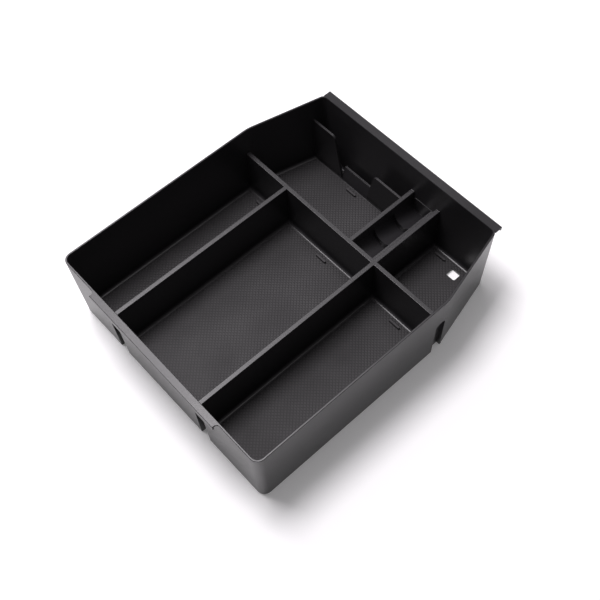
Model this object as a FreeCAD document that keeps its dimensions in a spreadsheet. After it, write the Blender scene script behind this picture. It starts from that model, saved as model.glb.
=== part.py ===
import FreeCAD, Part
import math
import os

import Sketcher

# Center console organizer tray: one moulded tray and five rubber mats.
# Millimetres. +Z is up, +X is the tray's right side, +Y is its rear.
# The origin is on the floor, under the middle of the tray's outer box.

SIZES = [
    ("tray_width", 280.0, "outside width at the rim, straight part"),
    ("straight_length", 229.4, "front wall to the bend of each side wall"),
    ("taper_length", 87.5, "bend to the rear wall"),
    ("taper_inset", 21.8, "how far each side wall comes in over that length"),
    ("rim_height", 89.0, "height of the rim over the surface it stands on"),
    ("wall", 2.0, "wall thickness"),
    ("floor_thickness", 2.5, "floor thickness"),
    ("draft_inset", 2.3, "how far each wall leans in from the rim to the bottom"),
    ("front_corner_radius", 10.0, "outside radius of the two front corners"),
    ("rear_corner_radius", 8.0, "outside radius of the two rear corners"),
    ("bend_radius", 40.0, "outside radius of the bend in each side wall"),
    ("bottom_edge_radius", 1.6, "rounding of the outside bottom edge"),
    ("floor_fillet", 3.6, "inside fillet between the walls and the floor"),
    ("rim_edge_bevel", 0.4, "bevel of the edges of the rim"),
    ("front_flange_depth", 5.2, "reach of the front flange beyond the wall"),
    ("front_flange_width", 177.4, "length of the front flange along the wall"),
    ("front_lip_drop", 5.2, "height of the lip under the front flange"),
    ("rear_flange_depth", 7.3, "reach of the rear flange beyond the wall"),
    ("rear_flange_width", 236.4, "length of the rear flange along the wall"),
    ("rear_lip_drop", 4.6, "height of the lip under the rear flange"),
    ("flange_thickness", 2.0, "thickness of both flanges"),
    ("lip_thickness", 1.8, "thickness of both lips"),
    ("flange_fillet", 3.2, "hollow fillet where a flange runs into the rim"),
    ("divider_height", 56.1, "top of the dividers"),
    ("divider_top", 4.6, "thickness of a divider at its top"),
    ("divider_base", 5.6, "thickness of a divider at the floor"),
    ("divider_edge_radius", 0.5, "rounding of the top edges of the dividers"),
    ("left_divider_from_side", 63.6, "left side of the rim to the middle of the left divider"),
    ("right_divider_from_side", 90.6, "right side of the rim to the middle of the right divider"),
    ("cross_divider_before_bend", 4.4, "middle of the cross divider to the bend"),
    ("holder_divider_spacing", 34.7, "middle to middle of the dividers beside the coin holder"),
    ("holder_ledge_height", 47.8, "top of the coin holder's ledge"),
    ("trough_width", 24.6, "width of each coin trough"),
    ("trough_from_divider", 20.2, "middle of the right divider to the middle of the troughs"),
    ("trough_start_offset", 5.1, "middle of the cross divider to the first trough"),
    ("trough_drop", 7.4, "how much deeper a trough is at its rear end"),
    ("holder_hollow_height", 25.6, "height of the hollow under the coin holder"),
    ("holder_hollow_margin", 3.0, "material left round that hollow"),
    ("slot_wall_from_rear", 16.3, "rear wall's outside to the front face of the slot wall"),
    ("slot_wall_thickness", 2.3, "thickness of the slot wall"),
    ("slot_left_height", 61.6, "top of the slot wall left of the gap"),
    ("slot_left_top_x", -87.0, "upper end of the left part's slanted edge"),
    ("slot_left_base_x", -74.6, "lower end of the left part's slanted edge"),
    ("slot_right_height", 49.4, "top of the slot wall right of the gap"),
    ("slot_right_top_x", -27.8, "upper end of the right part's slanted edge"),
    ("slot_right_base_x", -37.4, "lower end of the right part's slanted edge"),
    ("slot_corner_radius", 5.0, "rounding of the slot wall's upper corners"),
    ("scoop_top_height", 17.9, "top of the low leaning panel in the gap"),
    ("scoop_lean", 5.6, "how far that panel leans back"),
    ("scoop_thickness", 2.2, "thickness of that panel"),
    ("cable_hole_from_side", 26.0, "rear right corner's side to the middle of the cable hole"),
    ("cable_hole_from_rear", 18.9, "rear wall's outside to the middle of the cable hole"),
    ("cable_hole_width", 12.0, "width of the cable hole"),
    ("cable_hole_length", 11.0, "length of the cable hole, front to rear"),
    ("cable_hole_radius", 1.8, "corner radius of the cable hole"),
    ("recess_width", 12.6, "width of each recess in the outside of the walls"),
    ("recess_depth", 5.0, "depth of a recess at the bottom"),
    ("recess_height", 46.5, "height where a recess runs out"),
    ("recess_full_height", 20.0, "height up to which a recess is full depth"),
    ("left_recess_offset", 0.2, "middle of the left divider to the left flank of its recess"),
    ("right_recess_offset", 0.0, "middle of the right divider to the left flank of its recess"),
    ("side_recess_before_bend", 11.0, "front flank of the side recess to the bend"),
    ("side_recess_depth", 4.6, "depth of the recess in the right side wall"),
    ("side_recess_height", 53.5, "top of the recess in the right side wall"),
    ("mat_thickness", 2.2, "thickness of the mats"),
    ("mat_margin", 4.1, "gap from a wall or divider at the floor to a mat"),
    ("mat_corner_radius", 3.0, "corner radius of the mats"),
    ("mat_notch_radius", 0.8, "corner radius of the notches round the bosses"),
    ("mat_border_height", 0.4, "height of the raised border round a mat"),
    ("mat_border_width", 1.2, "width of the raised border"),
    ("mat_edge_bevel", 0.4, "bevel of the mats' upper edge"),
    ("mat_slot_clearance", 1.6, "gap from the rear left mat to the slot wall"),
    ("mat_tab_length", 14.0, "length of a mat's pull bar"),
    ("mat_tab_width", 2.4, "width of a mat's pull bar"),
    ("mat_tab_height", 2.5, "height of a mat's pull bar over the mat"),
    ("mat_tab_bevel", 0.3, "bevel of the pull bar's upper edge"),
    ("mat_tab_inset", 5.6, "distance of the pull bar from the mat's rear edge"),
    ("mat_recess_clearance", 1.2, "gap from a mat to the boss of a recess"),
]


class Size:
    """A size with its number and the expression that drives it."""

    def __init__(self, value, text):
        self.value = float(value)
        self.text = text

    def _other(self, other):
        return other if isinstance(other, Size) else Size(other, repr(float(other)))

    def _join(self, other, value, sign):
        return Size(value, "(" + self.text + " " + sign + " " + other.text + ")")

    def __add__(self, other):
        other = self._other(other)
        return self._join(other, self.value + other.value, "+")

    def __sub__(self, other):
        other = self._other(other)
        return self._join(other, self.value - other.value, "-")

    def __mul__(self, other):
        other = self._other(other)
        return self._join(other, self.value * other.value, "*")

    def __truediv__(self, other):
        other = self._other(other)
        return self._join(other, self.value / other.value, "/")

    def __rsub__(self, other):
        return self._other(other) - self

    def __radd__(self, other):
        return self._other(other) + self

    def __rmul__(self, other):
        return self._other(other) * self

    def __neg__(self):
        return Size(-self.value, "(0 - " + self.text + ")")


def root(size):
    return Size(math.sqrt(size.value), "sqrt(" + size.text + ")")


doc = FreeCAD.newDocument("CenterConsoleTray")
sheet = doc.addObject("Spreadsheet::Sheet", "Sizes")
for row, (alias, value, note) in enumerate(SIZES, start=1):
    sheet.set("A" + str(row), alias)
    sheet.set("B" + str(row), str(value))
    sheet.set("C" + str(row), note)
    sheet.setAlias("B" + str(row), alias)
doc.recompute()
S = {alias: Size(value, "Sizes." + alias) for alias, value, note in SIZES}

# Positions that several features share.
HALF = S["tray_width"] / 2
LENGTH = S["straight_length"] + S["taper_length"]
FRONT = (S["front_flange_depth"] - S["rear_flange_depth"] - LENGTH) / 2
BEND = FRONT + S["straight_length"]
REAR = FRONT + LENGTH
SLANT = root(S["taper_length"] * S["taper_length"] + S["taper_inset"] * S["taper_inset"])
HEIGHT = S["rim_height"]
LEFT = S["left_divider_from_side"] - HALF
RIGHT = HALF - S["right_divider_from_side"]
HOLDER = RIGHT - S["holder_divider_spacing"]
TROUGH_X = RIGHT - S["trough_from_divider"]
LEFT_RECESS = LEFT + S["left_recess_offset"]
RIGHT_RECESS = RIGHT + S["right_recess_offset"]
FLOOR = S["floor_thickness"]
CROSS = BEND - S["cross_divider_before_bend"]
SLOT = REAR - S["slot_wall_from_rear"]
HOLE_X = HALF - S["taper_inset"] - S["cable_hole_from_side"]
HOLE_Y = REAR - S["cable_hole_from_rear"]
TROUGH_COUNT = 3


def lean(height):
    """How far the outside of a wall stands in from the rim's outline at a height."""
    return S["draft_inset"] * (1.0 - height / HEIGHT)


def inside(height):
    """How far the inside of a wall stands in from the rim's outline at a height."""
    return S["wall"] + lean(height)


def side_x(y, inset):
    """Half width of the tapered rear part at a y, for an outline set in by inset."""
    along = S["taper_inset"] * (y - BEND) + inset * SLANT
    return HALF - along / S["taper_length"]


def outline(inset):
    """The tray's six-cornered plan, set in all round by the same distance."""
    bend_y = BEND - inset * (SLANT - S["taper_length"]) / S["taper_inset"]
    rear_y = REAR - inset
    rear_x = side_x(rear_y, inset)
    wide = HALF - inset
    front_y = FRONT + inset
    return [
        (-wide, front_y),
        (wide, front_y),
        (wide, bend_y),
        (rear_x, rear_y),
        (-rear_x, rear_y),
        (-wide, bend_y),
    ]


def origin_plane(body, role):
    return [f for f in body.Origin.OriginFeatures if f.Role == role][0]


def new_sketch(body, name, role, offset):
    """An empty sketch parallel to one of the body's own origin planes."""
    sketch = body.newObject("Sketcher::SketchObject", name)
    sketch.AttachmentSupport = [(origin_plane(body, role), "")]
    sketch.MapMode = "FlatFace"
    placement = FreeCAD.Placement(FreeCAD.Vector(0, 0, offset.value), FreeCAD.Rotation())
    sketch.AttachmentOffset = placement
    sketch.setExpression("AttachmentOffset.Base.z", offset.text)
    return sketch


def pin(sketch, geometry, end, point, label):
    """Fixes one end of a line or arc at a point given by two sizes."""
    for axis, size in (("DistanceX", point[0]), ("DistanceY", point[1])):
        index = sketch.addConstraint(Sketcher.Constraint(axis, -1, 1, geometry, end, size.value))
        name = label + axis[-1]
        sketch.renameConstraint(index, name)
        sketch.setExpression("Constraints." + name, size.text)


def vector(point):
    return FreeCAD.Vector(point[0].value, point[1].value, 0)


def polygon(sketch, points, label="p"):
    """A closed outline of straight lines through the points."""
    count = len(points)
    first = sketch.GeometryCount
    for i in range(count):
        a, b = vector(points[i]), vector(points[(i + 1) % count])
        sketch.addGeometry(Part.LineSegment(a, b), False)
    for i in range(count):
        after = first + (i + 1) % count
        sketch.addConstraint(Sketcher.Constraint("Coincident", first + i, 2, after, 1))
    for i in range(count):
        pin(sketch, first + i, 1, points[i], label + str(i))
    return sketch


def round_slot(sketch, middle, half, centre_z, flat_z):
    """A slot outline, half round at one end and flat at the other end."""
    opens_up = flat_z.value > centre_z.value
    begin = middle + half if opens_up else middle - half
    finish = middle - half if opens_up else middle + half
    turn = math.pi if opens_up else 0.0
    circle = Part.Circle(vector((middle, centre_z)), FreeCAD.Vector(0, 0, 1), half.value)
    sketch.addGeometry(Part.ArcOfCircle(circle, turn, turn + math.pi), False)
    corners = [(begin, centre_z), (begin, flat_z), (finish, flat_z), (finish, centre_z)]
    for a, b in zip(corners, corners[1:]):
        sketch.addGeometry(Part.LineSegment(vector(a), vector(b)), False)
    sketch.addConstraint(Sketcher.Constraint("Tangent", 0, 2, 1, 1))
    sketch.addConstraint(Sketcher.Constraint("Coincident", 1, 2, 2, 1))
    sketch.addConstraint(Sketcher.Constraint("Coincident", 2, 2, 3, 1))
    sketch.addConstraint(Sketcher.Constraint("Coincident", 3, 2, 0, 1))
    pin(sketch, 1, 1, corners[0], "round_a")
    pin(sketch, 1, 2, corners[1], "flat_a")
    pin(sketch, 2, 2, corners[2], "flat_b")
    pin(sketch, 3, 2, corners[3], "round_b")
    return sketch


def check_new(feature, before, grows):
    """Recomputes and makes sure that the feature really changed the solid."""
    doc.recompute()
    if "Invalid" in feature.State or feature.Shape.isNull():
        raise RuntimeError(feature.Name + " failed")
    after = feature.Shape.Volume
    if grows and after <= before or not grows and after >= before:
        raise RuntimeError(feature.Name + " changed nothing: " + str(after - before))
    return feature


def pad(body, sketch, length, name, symmetric=False, backwards=False):
    before = body.Shape.Volume if not body.Shape.isNull() else 0.0
    feature = body.newObject("PartDesign::Pad", name)
    feature.Profile = sketch
    feature.setExpression("Length", length.text)
    feature.Length = length.value
    feature.SideType = "Symmetric" if symmetric else "One side"
    feature.Reversed = backwards
    return check_new(feature, before, True)


def pocket(body, sketch, length, name, backwards=False):
    before = body.Shape.Volume
    feature = body.newObject("PartDesign::Pocket", name)
    feature.Profile = sketch
    feature.setExpression("Length", length.text)
    feature.Length = length.value
    feature.Reversed = backwards
    return check_new(feature, before, False)


def loft(body, first, last, name, cut):
    before = body.Shape.Volume if not body.Shape.isNull() else 0.0
    kind = "PartDesign::SubtractiveLoft" if cut else "PartDesign::AdditiveLoft"
    feature = body.newObject(kind, name)
    feature.Profile = first
    feature.Sections = [last]
    feature.Ruled = True
    return check_new(feature, before, not cut)


def edges_where(shape, test):
    """Names of the edges whose middle point and direction pass the test."""
    names = []
    for i, edge in enumerate(shape.Edges, start=1):
        middle = edge.valueAt((edge.FirstParameter + edge.LastParameter) / 2)
        ends = edge.Vertexes[-1].Point - edge.Vertexes[0].Point
        if test(edge, middle, ends):
            names.append("Edge" + str(i))
    return names


def fillet(body, base, radius, name, test):
    """Rounds every edge of the base feature that passes the test."""
    return dress_up(body, base, "PartDesign::Fillet", "Radius", radius, name, test)


def bevel(body, base, size, name, test):
    """Cuts a flat bevel along every edge of the base feature that passes the test."""
    return dress_up(body, base, "PartDesign::Chamfer", "Size", size, name, test)


def dress_up(body, base, kind, word, size, name, test):
    names = edges_where(base.Shape, test)
    if not names:
        raise RuntimeError(name + " found no edges")
    feature = body.newObject(kind, name)
    feature.Base = (base, names)
    setattr(feature, word, size.value)
    feature.setExpression(word, size.text)
    doc.recompute()
    if "Invalid" in feature.State or feature.Shape.isNull() or not feature.Shape.isValid():
        raise RuntimeError(name + " failed on " + str(len(names)) + " edges")
    return feature


def upright(ends, least):
    return abs(ends.z) > least and math.hypot(ends.x, ends.y) < 0.3 * abs(ends.z)


def near(value, size, tolerance=1.0):
    return abs(value - size.value) < tolerance


def round_plan_corners(body, base, inset, prefix):
    """Rounds the six upright edges of a shell surface, set in from the outside."""
    rear_y = REAR - inset
    rear_x = side_x(rear_y, inset)
    spots = [
        ("FrontCorners", HALF - inset, FRONT + inset, S["front_corner_radius"]),
        ("Bends", HALF - inset, BEND, S["bend_radius"]),
        ("RearCorners", rear_x, rear_y, S["rear_corner_radius"]),
    ]
    least = HEIGHT.value * 0.5
    for word, x, y, radius in spots:
        def there(edge, middle, ends, x=x, y=y):
            close = abs(abs(middle.x) - x.value) < 0.7 and abs(middle.y - y.value) < 0.7
            return upright(ends, least) and close
        base = fillet(body, base, radius - inset, prefix + word, there)
    return base


def draft_walls(body, base, name, neutral_height, outside):
    """Leans every exactly upright flat face about the plane at neutral_height."""
    upright_faces = []
    neutral = None
    for i, face in enumerate(base.Shape.Faces, start=1):
        if face.Surface.TypeId != "Part::GeomPlane":
            continue
        rise = abs(face.Surface.Axis.z)
        if rise < 1e-6:
            upright_faces.append("Face" + str(i))
        elif rise > 0.999 and near(face.CenterOfMass.z, neutral_height, 0.01):
            neutral = "Face" + str(i)
    feature = body.newObject("PartDesign::Draft", name)
    feature.Base = (base, upright_faces)
    feature.NeutralPlane = (base, [neutral])
    feature.Reversed = outside
    angle = "atan(" + S["draft_inset"].text + " / " + HEIGHT.text + ")"
    feature.Angle = math.degrees(math.atan(S["draft_inset"].value / HEIGHT.value))
    feature.setExpression("Angle", angle)
    return feature


def shell(body):
    """The open shell: a drafted block hollowed from above, then rounded."""
    plan = polygon(new_sketch(body, "OutsidePlan", "XY_Plane", HEIGHT * 0), outline(HEIGHT * 0))
    block = pad(body, plan, HEIGHT, "OutsideShape")
    straight = block.Shape.Volume
    block = draft_walls(body, block, "OutsideDraft", HEIGHT, True)
    check_new(block, straight, False)

    plan = polygon(new_sketch(body, "InsidePlan", "XY_Plane", FLOOR), outline(inside(FLOOR)))
    hollow = pocket(body, plan, HEIGHT, "InsideShape", backwards=True)
    straight = hollow.Shape.Volume
    hollow = draft_walls(body, hollow, "InsideDraft", FLOOR, False)
    check_new(hollow, straight, False)

    made = round_plan_corners(body, hollow, inside(HEIGHT / 2), "Inside")
    made = round_plan_corners(body, made, lean(HEIGHT / 2), "Outside")

    def at_bottom(edge, middle, ends):
        return abs(middle.z) < 0.01
    made = fillet(body, made, S["bottom_edge_radius"], "BottomEdge", at_bottom)

    def at_floor(edge, middle, ends):
        return near(middle.z, FLOOR, 0.01)
    return fillet(body, made, S["floor_fillet"], "FloorFillet", at_floor)


def l_profile(depth, drop, wall_y, outward):
    """Section of a flange with its lip: outward is -1 at the front and 1 at the rear."""
    sign = float(outward)
    edge_y = wall_y + depth * sign
    lip_y = wall_y + (depth - S["lip_thickness"]) * sign
    root_y = wall_y - S["wall"] * (0.6 * sign)
    under = HEIGHT - S["flange_thickness"]
    return [
        (root_y, HEIGHT),
        (edge_y, HEIGHT),
        (edge_y, HEIGHT - drop),
        (lip_y, HEIGHT - drop),
        (lip_y, under),
        (root_y, under),
    ]


def flanges(body):
    """Flat flanges with a turned-down lip on the front and rear walls."""
    rows = [
        ("Front", S["front_flange_depth"], S["front_lip_drop"], FRONT, -1, S["front_flange_width"]),
        ("Rear", S["rear_flange_depth"], S["rear_lip_drop"], REAR, 1, S["rear_flange_width"]),
    ]
    for word, depth, drop, wall_y, outward, width in rows:
        sketch = new_sketch(body, word + "FlangeSection", "YZ_Plane", HEIGHT * 0)
        polygon(sketch, l_profile(depth, drop, wall_y, outward))
        made = pad(body, sketch, width, word + "Flange", symmetric=True)
    return made


def flange_roots(body, made):
    """Hollow fillets where the ends of the front flange run into the rim."""
    def flange_root(edge, middle, ends):
        short = upright(ends, S["flange_thickness"].value * 0.8) and abs(ends.z) < 3.0
        at_end = near(abs(middle.x), S["front_flange_width"] / 2, 0.2)
        return short and at_end and near(middle.y, FRONT, 0.6)
    return fillet(body, made, S["flange_fillet"], "FlangeRoots", flange_root)


def front_bosses(body):
    """Thickenings inside the front wall that back the two recesses."""
    wall = S["wall"]
    start = FRONT + lean(HEIGHT * 0)
    for word, x in (("Left", LEFT_RECESS), ("Right", RIGHT_RECESS)):
        low = S["bottom_edge_radius"]
        points = [
            (start + 0.4, low),
            (start + S["recess_depth"] + wall, low),
            (start + S["recess_depth"] + wall, S["recess_full_height"] + wall),
            (start + 0.4, S["recess_height"] + wall),
        ]
        sketch = new_sketch(body, word + "BossSection", "YZ_Plane", x - wall)
        polygon(sketch, points)
        made = pad(body, sketch, S["recess_width"] + wall * 2.0, word + "Boss")
    return made


def front_recesses(body):
    """The two recesses in the front wall, open at the bottom edge."""
    start = FRONT + lean(HEIGHT * 0)
    for word, x in (("Left", LEFT_RECESS), ("Right", RIGHT_RECESS)):
        points = [
            (FRONT - 1.0, -S["wall"]),
            (start + S["recess_depth"], -S["wall"]),
            (start + S["recess_depth"], S["recess_full_height"]),
            (FRONT + lean(S["recess_height"]), S["recess_height"]),
            (FRONT - 1.0, S["recess_height"]),
        ]
        sketch = new_sketch(body, word + "RecessSection", "YZ_Plane", x)
        polygon(sketch, points)
        made = pocket(body, sketch, S["recess_width"], word + "Recess", backwards=True)
    return made


def side_boss(body):
    """The thickening inside the right wall that backs its recess."""
    wall = S["wall"]
    near_y = BEND - S["side_recess_before_bend"] - wall
    far_y = near_y + S["recess_width"] + wall * 2.0
    out_x = HALF - S["draft_inset"] - 0.4
    in_x = HALF - S["draft_inset"] - S["side_recess_depth"] - wall
    low = S["bottom_edge_radius"]
    points = [(in_x, near_y), (out_x, near_y), (out_x, far_y), (in_x, far_y)]
    sketch = polygon(new_sketch(body, "SideBossPlan", "XY_Plane", low), points)
    return pad(body, sketch, S["side_recess_height"] + wall - low, "SideBoss")


def side_recess(body):
    """The recess in the right wall: a round-topped slot, open at the bottom edge."""
    middle = BEND - S["side_recess_before_bend"] + S["recess_width"] / 2
    half = S["recess_width"] / 2
    top = S["side_recess_height"]
    low = -S["wall"]
    offset = HALF - S["draft_inset"] - S["side_recess_depth"]
    sketch = new_sketch(body, "SideRecessSection", "YZ_Plane", offset)
    round_slot(sketch, middle, half, top - half, low)
    reach = S["side_recess_depth"] + S["draft_inset"] + 1.0
    return pocket(body, sketch, reach, "SideRecess", backwards=True)


def divider_section(middle):
    """Section of a divider: drafted sides on a base that flares into the floor."""
    base, top = S["divider_base"] / 2, S["divider_top"] / 2
    flare = S["floor_fillet"]
    low = FLOOR * 0.5
    height = S["divider_height"]
    steps = [(1.0, 0.0), (0.617, 0.076), (0.293, 0.293), (0.076, 0.617), (0.0, 1.0)]
    right = [(middle + base + flare, low)]
    right += [(middle + base + flare * out, FLOOR + flare * up) for out, up in steps]
    right += [(middle + top, height)]
    left = [(middle - base - flare, low)]
    left += [(middle - base - flare * out, FLOOR + flare * up) for out, up in steps]
    left += [(middle - top, height)]
    return right + left[::-1]


def dividers(body):
    """Two long dividers, the cross divider and the two beside the coin holder."""
    inset = (S["draft_inset"] + inside(S["divider_height"])) / 2
    front_end = FRONT + inset
    rear_end = REAR - inset
    wide = HALF - inset

    sketch = new_sketch(body, "CrossDividerSection", "YZ_Plane", -wide)
    polygon(sketch, divider_section(CROSS))
    made = pad(body, sketch, wide * 2.0, "CrossDivider")

    rows = [
        ("LeftDivider", LEFT, front_end, CROSS),
        ("RightDivider", RIGHT, front_end, CROSS),
        ("HolderLeftDivider", HOLDER, CROSS, rear_end),
        ("HolderRightDivider", RIGHT, CROSS, rear_end),
    ]
    for word, x, start, end in rows:
        sketch = new_sketch(body, word + "Section", "XZ_Plane", -end)
        polygon(sketch, divider_section(x))
        made = pad(body, sketch, end - start, word)
    return made


def coin_holder(body):
    """A block between two dividers with three half-round troughs that fall to the rear."""
    left, right = HOLDER, RIGHT
    rear_end = REAR - (S["draft_inset"] + inside(S["divider_height"])) / 2
    low = FLOOR * 0.5
    points = [(left, CROSS), (right, CROSS), (right, rear_end), (left, rear_end)]
    sketch = polygon(new_sketch(body, "HolderPlan", "XY_Plane", low), points)
    pad(body, sketch, S["holder_ledge_height"] - low, "HolderBlock")

    half = S["trough_width"] / 2
    top = S["holder_ledge_height"] + 4.0
    shallow = S["holder_ledge_height"] - half
    deep = shallow - S["trough_drop"]
    middle = TROUGH_X
    first_y = CROSS + S["trough_start_offset"]
    pitch = (REAR - inside(S["holder_hollow_height"]) - first_y) / TROUGH_COUNT
    for i in range(TROUGH_COUNT):
        start = first_y + pitch * float(i)
        end = start + pitch
        number = str(i + 1)
        first = new_sketch(body, "TroughFront" + number, "XZ_Plane", -start)
        round_slot(first, middle, half, shallow + half, top)
        last = new_sketch(body, "TroughRear" + number, "XZ_Plane", -end)
        round_slot(last, middle, half, deep + half, top)
        made = loft(body, first, last, "Trough" + number, True)

    margin = S["holder_hollow_margin"]
    start = first_y + margin
    end = REAR - inside(FLOOR) - margin
    left, right = left + margin, right - margin
    points = [(left, start), (right, start), (right, end), (left, end)]
    sketch = polygon(new_sketch(body, "HolderHollowPlan", "XY_Plane", -FLOOR), points)
    made = pocket(body, sketch, S["holder_hollow_height"] + FLOOR, "HolderHollow", backwards=True)
    return made


def slot_wall(body):
    """The card slot wall: two tall parts with slanted edges and a low leaning panel."""
    front_y = SLOT
    rear_y = SLOT + S["slot_wall_thickness"]
    middle_y = SLOT + S["slot_wall_thickness"] / 2
    low = FLOOR * 0.5
    wall_half = S["wall"] / 2
    low_x = -(side_x(middle_y, lean(low)) - wall_half)
    high_x = -(side_x(middle_y, lean(S["slot_left_height"])) - wall_half)
    left = [
        (low_x, low),
        (S["slot_left_base_x"], low),
        (S["slot_left_base_x"], FLOOR),
        (S["slot_left_top_x"], S["slot_left_height"]),
        (high_x, S["slot_left_height"]),
    ]
    sketch = polygon(new_sketch(body, "SlotLeftShape", "XZ_Plane", -rear_y), left)
    pad(body, sketch, S["slot_wall_thickness"], "SlotLeft")
    right = [
        (S["slot_right_base_x"], low),
        (HOLDER, low),
        (HOLDER, S["slot_right_height"]),
        (S["slot_right_top_x"], S["slot_right_height"]),
        (S["slot_right_base_x"], FLOOR),
    ]
    sketch = polygon(new_sketch(body, "SlotRightShape", "XZ_Plane", -rear_y), right)
    made = pad(body, sketch, S["slot_wall_thickness"], "SlotRight")

    def corner(edge, middle, ends):
        along_y = abs(ends.y) > 1.0 and abs(ends.x) + abs(ends.z) < 0.1
        at_left = near(middle.x, S["slot_left_top_x"]) and near(middle.z, S["slot_left_height"])
        at_right = near(middle.x, S["slot_right_top_x"]) and near(middle.z, S["slot_right_height"])
        return along_y and (at_left or at_right)
    made = fillet(body, made, S["slot_corner_radius"], "SlotCorners", corner)

    lean_y = S["scoop_lean"]
    thick = S["scoop_thickness"]
    panel = [
        (front_y, low),
        (front_y + thick, low),
        (front_y + thick, FLOOR),
        (front_y + lean_y + thick, S["scoop_top_height"]),
        (front_y + lean_y, S["scoop_top_height"]),
        (front_y, FLOOR),
    ]
    overlap = 1.0
    start = S["slot_left_base_x"] - overlap
    sketch = polygon(new_sketch(body, "ScoopSection", "YZ_Plane", start), panel)
    length = S["slot_right_base_x"] - S["slot_left_base_x"] + 2 * overlap
    return pad(body, sketch, length, "Scoop")


def rectangle(x, y, width, length):
    half_x, half_y = width / 2, length / 2
    return [
        (x - half_x, y - half_y),
        (x + half_x, y - half_y),
        (x + half_x, y + half_y),
        (x - half_x, y + half_y),
    ]


def round_hole(body, made, name):
    """Rounds the four corners of the cable hole through the floor or its mat."""
    half_x, half_y = S["cable_hole_width"] / 2, S["cable_hole_length"] / 2

    def corner(edge, middle, ends):
        close_x = abs(abs(middle.x - HOLE_X.value) - half_x.value) < 0.1
        close_y = abs(abs(middle.y - HOLE_Y.value) - half_y.value) < 0.1
        return close_x and close_y and upright(ends, 1.0)
    return fillet(body, made, S["cable_hole_radius"], name, corner)


def cable_hole(body):
    """The square cable hole in the floor of the rear right compartment."""
    points = rectangle(HOLE_X, HOLE_Y, S["cable_hole_width"], S["cable_hole_length"])
    sketch = polygon(new_sketch(body, "CableHolePlan", "XY_Plane", -FLOOR), points)
    made = pocket(body, sketch, FLOOR * 3.0, "CableHole", backwards=True)
    return round_hole(body, made, "CableHoleCorners")


def soften(body, made):
    """Bevels the edges of the rim with its flanges and rounds the divider tops."""
    def at_rim(edge, middle, ends):
        return near(middle.z, HEIGHT, 0.01) and near(edge.Vertexes[0].Z, HEIGHT, 0.01)
    made = bevel(body, made, S["rim_edge_bevel"], "RimEdges", at_rim)

    def at_divider_top(edge, middle, ends):
        return near(middle.z, S["divider_height"], 0.01) and math.hypot(ends.x, ends.y) > 4.0
    return fillet(body, made, S["divider_edge_radius"], "DividerTops", at_divider_top)


def build_tray():
    body = doc.addObject("PartDesign::Body", "tray_body")
    body.Label = "tray_body"
    shell(body)
    flange_roots(body, flanges(body))
    front_bosses(body)
    side_boss(body)
    dividers(body)
    coin_holder(body)
    slot_wall(body)
    front_recesses(body)
    side_recess(body)
    body.Tip = soften(body, cable_hole(body))
    return body


def mat_plans(extra):
    """Outline of each mat, set in all round by extra, and which corners are tight."""
    margin = S["mat_margin"] + extra
    gap = S["mat_recess_clearance"] + extra
    base = S["divider_base"] / 2
    inset = inside(FLOOR) + margin
    side = HALF - inset
    front = FRONT + inset
    rear = REAR - inset
    slot = SLOT - S["mat_slot_clearance"] - extra
    cross_front = CROSS - base - margin
    cross_rear = CROSS + base + margin
    left_of_left = LEFT - base - margin
    right_of_left = LEFT + base + margin
    left_of_right = RIGHT - base - margin
    right_of_right = RIGHT + base + margin
    left_of_holder = HOLDER - base - margin

    boss_y = FRONT + S["draft_inset"] + S["recess_depth"] + S["wall"] + gap
    boss_reach = S["recess_width"] + S["wall"] + gap
    left_boss_x = LEFT_RECESS + boss_reach
    right_boss_x = RIGHT_RECESS + boss_reach
    side_boss_x = HALF - S["draft_inset"] - S["side_recess_depth"] - S["wall"] - gap
    side_boss_y = BEND - S["side_recess_before_bend"] - S["wall"] - gap
    return {
        "mat_front_left": ([
            (-side, front),
            (left_of_left, front),
            (left_of_left, cross_front),
            (-side, cross_front),
        ], ()),
        "mat_front_middle": ([
            (right_of_left, boss_y),
            (left_boss_x, boss_y),
            (left_boss_x, front),
            (left_of_right, front),
            (left_of_right, cross_front),
            (right_of_left, cross_front),
        ], (0, 1, 2)),
        "mat_front_right": ([
            (right_of_right, boss_y),
            (right_boss_x, boss_y),
            (right_boss_x, front),
            (side, front),
            (side, side_boss_y),
            (side_boss_x, side_boss_y),
            (side_boss_x, cross_front),
            (right_of_right, cross_front),
        ], (0, 1, 2, 4, 5, 6)),
        "mat_rear_left": ([
            (-side_x(cross_rear, inset), cross_rear),
            (left_of_holder, cross_rear),
            (left_of_holder, slot),
            (-side_x(slot, inset), slot),
        ], ()),
        "mat_rear_right": ([
            (right_of_right, cross_rear),
            (side_boss_x, cross_rear),
            (side_x(rear, inset), rear),
            (right_of_right, rear),
        ], ()),
    }


def round_mat_corners(body, made, plan, shrink, depth, name):
    """Rounds the upright corners of a mat, the tight ones beside a boss less."""
    points, notch = plan
    spots = [(p[0].value, p[1].value) for p in points]
    tight = [spots[i] for i in notch]
    rows = [
        ("_corners", S["mat_corner_radius"] - shrink, [p for p in spots if p not in tight]),
        ("_notches", S["mat_notch_radius"], tight),
    ]
    for word, radius, chosen in rows:
        def corner(edge, middle, ends, chosen=chosen):
            at_one = any(math.dist((middle.x, middle.y), p) < 0.05 for p in chosen)
            return at_one and upright(ends, depth.value * 0.9)
        if chosen:
            made = fillet(body, made, radius, name + word, corner)
    return made


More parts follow.
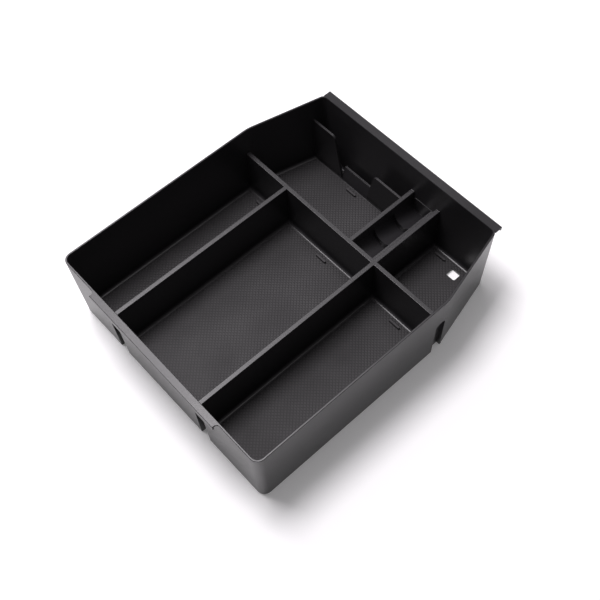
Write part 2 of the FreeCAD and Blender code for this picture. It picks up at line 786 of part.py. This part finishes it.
def build_mat(name, plan, field, tab_x):
    """A flat mat with a raised border and a small pull bar near its rear edge."""
    body = doc.addObject("PartDesign::Body", name)
    body.Label = name
    body.setExpression("Placement.Base.z", FLOOR.text)
    body.Placement.Base.z = FLOOR.value
    zero = HEIGHT * 0
    thick = S["mat_thickness"]
    border = S["mat_border_height"]
    sketch = polygon(new_sketch(body, name + "_plan", "XY_Plane", zero), plan[0])
    made = pad(body, sketch, thick + border, name + "_sheet")
    made = round_mat_corners(body, made, plan, zero, thick, name)

    def top_edge(edge, middle, ends):
        return near(middle.z, thick + border, 0.01)
    made = bevel(body, made, S["mat_edge_bevel"], name + "_edge", top_edge)

    sketch = polygon(new_sketch(body, name + "_field_plan", "XY_Plane", thick), field[0])
    made = pocket(body, sketch, border * 3.0, name + "_field", backwards=True)

    rear_y = plan[0][-1][1]
    y = rear_y - S["mat_tab_inset"]
    low = thick / 2
    bar = rectangle(tab_x, y, S["mat_tab_length"], S["mat_tab_width"])
    sketch = polygon(new_sketch(body, name + "_bar_plan", "XY_Plane", low), bar)
    height = low + S["mat_tab_height"]
    made = pad(body, sketch, height, name + "_bar")

    def bar_corner(edge, middle, ends):
        return upright(ends, S["mat_tab_height"].value * 0.9) and middle.z > thick.value
    made = fillet(body, made, S["mat_tab_width"] * 0.45, name + "_bar_ends", bar_corner)

    def bar_top(edge, middle, ends):
        return near(middle.z, thick + S["mat_tab_height"], 0.01)
    made = bevel(body, made, S["mat_tab_bevel"], name + "_bar_top", bar_top)
    if name == "mat_rear_right":
        square = rectangle(HOLE_X, HOLE_Y, S["cable_hole_width"], S["cable_hole_length"])
        sketch = polygon(new_sketch(body, name + "_hole_plan", "XY_Plane", -low), square)
        made = pocket(body, sketch, low * 6.0, name + "_hole", backwards=True)
        made = round_hole(body, made, name + "_hole_corners")
    body.Tip = made
    return body


def build_mats():
    plans = mat_plans(HEIGHT * 0)
    fields = mat_plans(S["mat_border_width"])
    mats = []
    for name, plan in plans.items():
        rear = plan[0][-1][0] + plan[0][-2][0]
        tab_x = rear / 2
        if name == "mat_rear_right":
            tab_x = plan[0][-1][0] + S["mat_tab_length"] / 2 + S["mat_tab_inset"]
        mats.append(build_mat(name, plan, fields[name], tab_x))
    return mats


parts = [build_tray()] + build_mats()
doc.recompute()

for item in doc.Objects:
    if "Invalid" in item.State or "Error" in item.State:
        raise RuntimeError(item.Name + " is in a failed state")
for part in parts:
    if part.Shape.isNull() or not part.Shape.isValid():
        raise RuntimeError(part.Label + " has no valid shape")
    if len(part.Shape.Solids) != 1:
        raise RuntimeError(part.Label + " is not one solid")

os.makedirs("parts", exist_ok=True)
for part in parts:
    part.Shape.exportStep("parts/" + part.Label + ".step")
    box = part.Shape.BoundBox
    corners = [box.XMin, box.XMax, box.YMin, box.YMax, box.ZMin, box.ZMax]
    print(part.Label, round(part.Shape.Volume), [round(c, 2) for c in corners])
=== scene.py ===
# %% Center console organizer tray
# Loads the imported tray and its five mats, gives them their plastic and rubber,
# and sets up the studio, the lights and the camera.
import math

import bpy
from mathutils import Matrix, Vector

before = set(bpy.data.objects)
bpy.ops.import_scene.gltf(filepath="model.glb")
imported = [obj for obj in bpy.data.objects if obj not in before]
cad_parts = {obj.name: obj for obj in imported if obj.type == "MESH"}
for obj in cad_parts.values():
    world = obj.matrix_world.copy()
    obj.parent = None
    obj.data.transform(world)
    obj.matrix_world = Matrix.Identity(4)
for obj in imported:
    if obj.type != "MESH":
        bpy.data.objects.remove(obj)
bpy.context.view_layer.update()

TRAY = "tray_body"
MATS = ["mat_front_left", "mat_front_middle", "mat_front_right", "mat_rear_left", "mat_rear_right"]

bpy.ops.object.select_all(action="DESELECT")
print("Loaded the tray and", len(MATS), "mats")


# %% [markdown]
# Both finishes are built from a few kinds of node, so each kind gets a small
# helper. Every pattern reads Object coordinates in metres. It then keeps its
# real size on each piece, which a stretched image would not.

# %% Node helpers
def new_material(name):
    """A material with its node tree, its shader and a source of coordinates."""
    material = bpy.data.materials.new(name)
    material.use_nodes = True
    tree = material.node_tree
    shader = tree.nodes["Principled BSDF"]
    coords = tree.nodes.new("ShaderNodeTexCoord")
    return material, tree, shader, coords


def cloud_noise(tree, coords, scale, detail):
    """Slow patches that vary a finish as handling and moulding do."""
    node = tree.nodes.new("ShaderNodeTexNoise")
    node.inputs["Scale"].default_value = scale
    node.inputs["Detail"].default_value = detail
    tree.links.new(coords.outputs["Object"], node.inputs["Vector"])
    return node.outputs["Fac"]


def spread(tree, source, low, high, from_low=0.3, from_high=0.7):
    """Maps a texture's middle values to the range low to high."""
    node = tree.nodes.new("ShaderNodeMapRange")
    node.inputs["From Min"].default_value = from_low
    node.inputs["From Max"].default_value = from_high
    node.inputs["To Min"].default_value = low
    node.inputs["To Max"].default_value = high
    tree.links.new(source, node.inputs["Value"])
    return node.outputs["Result"]


def blend(tree, factor, first, second):
    """Goes from the first colour to the second as the factor rises."""
    node = tree.nodes.new("ShaderNodeMix")
    node.data_type = "RGBA"
    node.inputs["A"].default_value = (*first, 1.0)
    node.inputs["B"].default_value = (*second, 1.0)
    tree.links.new(factor, node.inputs["Factor"])
    return node.outputs["Result"]


def bump(tree, height, strength, distance, under=None):
    """Raises the surface by a height, on top of another bump where one is given."""
    node = tree.nodes.new("ShaderNodeBump")
    node.inputs["Strength"].default_value = strength
    node.inputs["Distance"].default_value = distance
    tree.links.new(height, node.inputs["Height"])
    if under is not None:
        tree.links.new(under, node.inputs["Normal"])
    return node.outputs["Normal"]


def math_node(tree, operation, *values):
    """One sum, with numbers or other nodes' outputs as its inputs."""
    node = tree.nodes.new("ShaderNodeMath")
    node.operation = operation
    for socket, value in zip(node.inputs, values):
        if isinstance(value, (int, float)):
            socket.default_value = value
        else:
            tree.links.new(value, socket)
    return node.outputs["Value"]


# %% [markdown]
# A steel mould leaves a fine grain on plastic and on rubber alike. Both
# materials need it with numbers of their own, so it is a node group: built
# once, with named inputs, and placed in each material.

# %% Mould grain, a node group
mould_grain = bpy.data.node_groups.new("MouldGrain", "ShaderNodeTree")
mould_grain.interface.new_socket("Position", in_out="INPUT", socket_type="NodeSocketVector")
GRAIN_NUMBERS = ("Scale", "Detail", "Roughness")
for name in GRAIN_NUMBERS:
    mould_grain.interface.new_socket(name, in_out="INPUT", socket_type="NodeSocketFloat")
mould_grain.interface.new_socket("Height", in_out="OUTPUT", socket_type="NodeSocketFloat")

group_in = mould_grain.nodes.new("NodeGroupInput")
group_out = mould_grain.nodes.new("NodeGroupOutput")
specks = mould_grain.nodes.new("ShaderNodeTexNoise")
mould_grain.links.new(group_in.outputs["Position"], specks.inputs["Vector"])
for name in GRAIN_NUMBERS:
    mould_grain.links.new(group_in.outputs[name], specks.inputs[name])
mould_grain.links.new(specks.outputs["Fac"], group_out.inputs["Height"])


def grain(tree, coords, scale, detail, roughness):
    """Places the mould grain in a material and gives its height."""
    node = tree.nodes.new("ShaderNodeGroup")
    node.node_tree = mould_grain
    for name, value in zip(GRAIN_NUMBERS, (scale, detail, roughness)):
        node.inputs[name].default_value = value
    tree.links.new(coords.outputs["Object"], node.inputs["Position"])
    return node.outputs["Height"]


print("Node group", mould_grain.name, "with inputs", ", ".join(GRAIN_NUMBERS))


# %% [markdown]
# The tray is injection moulded in black plastic. Black is never quite black:
# the base colour is about two hundredths, and the shape is read from soft
# reflections, so the roughness matters most. A slow cloud varies both a
# little, and two sizes of grain break up the reflection.

# %% Black plastic of the tray
PLASTIC_DARK = (0.0180, 0.0172, 0.0187)
PLASTIC_LIGHT = (0.0225, 0.0216, 0.0233)
PLASTIC_ROUGHNESS = (0.32, 0.38)
PLASTIC_SPECULAR = 0.5

tray_plastic, tree, shader, coords = new_material("TrayPlastic")
cloud = cloud_noise(tree, coords, 14.0, 3.0)
tone = blend(tree, spread(tree, cloud, 0.0, 1.0), PLASTIC_DARK, PLASTIC_LIGHT)
tree.links.new(tone, shader.inputs["Base Color"])
tree.links.new(spread(tree, cloud, *PLASTIC_ROUGHNESS), shader.inputs["Roughness"])
shader.inputs["Specular IOR Level"].default_value = PLASTIC_SPECULAR
fine = bump(tree, grain(tree, coords, 2600.0, 2.0, 0.6), 0.35, 0.00008)
pores = bump(tree, grain(tree, coords, 700.0, 1.0, 0.5), 0.12, 0.00012, fine)
tree.links.new(pores, shader.inputs["Normal"])
print("Material", tray_plastic.name, "with", len(tree.nodes), "nodes")


# %% [markdown]
# The mats are soft rubber with a diamond grid: two sets of fine grooves cross
# at right angles, each 3 mm apart and turned 45 degrees to the tray. That makes
# about seven thousand diamonds, and modelled ones would need several faces
# each, so two cosine waves draw them here and a bump sinks them. A darker colour
# in the grooves is painted shade. The border and the pull bar stand above the
# grid and are plain, so the height of the surface tells where the grid ends.
# Their lighter colour is a painted highlight.

# %% Waves of the diamond grid
GROOVE_PITCH = 0.0030
GROOVE_SHARPNESS = 3.0
WAVE_TURN = 2.0 * math.pi / (GROOVE_PITCH * math.sqrt(2.0))
GRID_ENDS = 0.0048
PLAIN_STARTS = 0.0050

mat_rubber, tree, shader, coords = new_material("MatRubber")
axes = tree.nodes.new("ShaderNodeSeparateXYZ")
tree.links.new(coords.outputs["Object"], axes.inputs["Vector"])


def groove_wave(direction):
    """A wave from 0 to 1 across the mat, along X plus or minus Y."""
    slanted = math_node(tree, "MULTIPLY_ADD", axes.outputs["Y"], direction, axes.outputs["X"])
    cosine = math_node(tree, "COSINE", math_node(tree, "MULTIPLY", slanted, WAVE_TURN))
    return math_node(tree, "MULTIPLY_ADD", cosine, 0.5, 0.5)


crossed = math_node(tree, "MAXIMUM", groove_wave(1.0), groove_wave(-1.0))
on_grid = spread(tree, axes.outputs["Z"], 1.0, 0.0, GRID_ENDS, PLAIN_STARTS)
groove = math_node(tree, "MULTIPLY", math_node(tree, "POWER", crossed, GROOVE_SHARPNESS), on_grid)
print("Grooves every", GROOVE_PITCH * 1000.0, "mm")

# %% Rubber of the mats
RIDGE_COLOUR = (0.0180, 0.0165, 0.0180)
# Painted shade: the grooves get a darker colour than the ridges between them.
GROOVE_PAINTED_SHADE = (0.0070, 0.0062, 0.0070)
# Painted highlight: the raised border and the pull bars get a lighter colour than the grid.
BORDER_PAINTED_HIGHLIGHT = (0.0300, 0.0280, 0.0300)
RUBBER_ROUGHNESS = (0.58, 0.66)
RUBBER_SPECULAR = 0.45
GROOVE_DEPTH = 0.00030

cloud = cloud_noise(tree, coords, 20.0, 3.0)
level = math_node(tree, "MULTIPLY", groove, spread(tree, cloud, 0.85, 1.0))
grid_tone = blend(tree, level, RIDGE_COLOUR, GROOVE_PAINTED_SHADE)
tone = blend(tree, on_grid, BORDER_PAINTED_HIGHLIGHT, RIDGE_COLOUR)
tree.links.new(grid_tone, tone.node.inputs["B"])
tree.links.new(tone, shader.inputs["Base Color"])
tree.links.new(spread(tree, cloud, *RUBBER_ROUGHNESS), shader.inputs["Roughness"])
shader.inputs["Specular IOR Level"].default_value = RUBBER_SPECULAR
grid = bump(tree, groove, 0.6, -GROOVE_DEPTH)
speckle = bump(tree, grain(tree, coords, 1800.0, 2.0, 0.5), 0.15, 0.00008, grid)
tree.links.new(speckle, shader.inputs["Normal"])
print("Material", mat_rubber.name, "with", len(tree.nodes), "nodes")

# %% [markdown]
# The six solids keep their own meshes. Each takes one material in place of the
# plain one that it came with.

# %% Materials onto the pieces
for name in [TRAY] + MATS:
    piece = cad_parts[name]
    piece.data.materials.clear()
    piece.data.materials.append(tray_plastic if name == TRAY else mat_rubber)
    print(name, "has", piece.data.materials[0].name)

# %% [markdown]
# Small goods are photographed on white paper that runs out of the picture. A
# large plane does the same. It glows a little, as paper lit from below does,
# so it stays white beside the tray and the shade on it stays soft.

# %% White paper under the tray
PAPER_SIZE = 8.0
PAPER_DARK = (0.94, 0.94, 0.94)
PAPER_LIGHT = (0.96, 0.96, 0.96)
PAPER_GLOW = 0.12

bpy.ops.mesh.primitive_plane_add(size=PAPER_SIZE, location=(0.0, 0.0, 0.0))
floor = bpy.context.active_object
floor.name = "StudioFloor"
white_paper, tree, shader, coords = new_material("StudioWhite")
tone = blend(tree, cloud_noise(tree, coords, 3.0, 2.0), PAPER_DARK, PAPER_LIGHT)
tree.links.new(tone, shader.inputs["Base Color"])
shader.inputs["Roughness"].default_value = 0.9
shader.inputs["Specular IOR Level"].default_value = 0.1
shader.inputs["Emission Color"].default_value = (1.0, 1.0, 1.0, 1.0)
shader.inputs["Emission Strength"].default_value = PAPER_GLOW
floor.data.materials.append(white_paper)
print("Paper", PAPER_SIZE, "m wide")


# %% [markdown]
# In the photograph the shade falls on the ground at the tray's right, and it is
# soft. So the strongest softbox hangs above and to the left, and a second one
# stands further out on the left. Two weaker ones, over the rear left and nearly
# straight above, fill the shade, and the world lifts it a little everywhere.

# %% Lights
LIGHT_TINT = (1.0, 0.965, 1.0)
ROOM_STRENGTH = 0.12


def softbox(name, place, size, watts):
    """A square area light that faces the tray."""
    bpy.ops.object.light_add(type="AREA", location=place)
    light = bpy.context.active_object
    light.name = name
    light.data.shape = "RECTANGLE"
    light.data.size = size
    light.data.size_y = size
    light.data.energy = watts
    light.data.color = LIGHT_TINT
    light.rotation_euler = Vector(place).to_track_quat("Z", "Y").to_euler()
    print(name, "gives", watts, "W")


softbox("TopSoftbox", (-0.5, -0.18, 1.82), 0.7, 27.0)
softbox("LeftSoftbox", (-1.25, 0.1, 1.4), 0.7, 10.0)
softbox("RearSoftbox", (-0.6, 0.4, 1.75), 0.7, 6.0)
softbox("FillSoftbox", (0.2, 0.1, 1.95), 0.9, 3.5)

world = bpy.context.scene.world or bpy.data.worlds.new("Studio")
bpy.context.scene.world = world
world.use_nodes = True
background = world.node_tree.nodes["Background"]
background.inputs["Color"].default_value = (*LIGHT_TINT, 1.0)
background.inputs["Strength"].default_value = ROOM_STRENGTH
bpy.context.scene.view_settings.view_transform = "Standard"

# %% [markdown]
# The camera looks down at the front right corner from about 59 degrees. Its
# place, turn and lens come from a fit of the tray's edges to those in the
# photograph.

# %% Camera
CAMERA_PLACE = (0.38849, -0.30349, 0.83050)
CAMERA_TURN = (30.5933, 1.8873, 47.8176)
CAMERA_SENSOR = 36.0
CAMERA_LENS = 57.240

bpy.ops.object.camera_add(location=CAMERA_PLACE)
camera = bpy.context.active_object
camera.name = "PhotoCamera"
camera.rotation_euler = [math.radians(angle) for angle in CAMERA_TURN]
camera.data.sensor_width = CAMERA_SENSOR
camera.data.lens = CAMERA_LENS
bpy.context.scene.camera = camera
print("Camera at", CAMERA_PLACE)
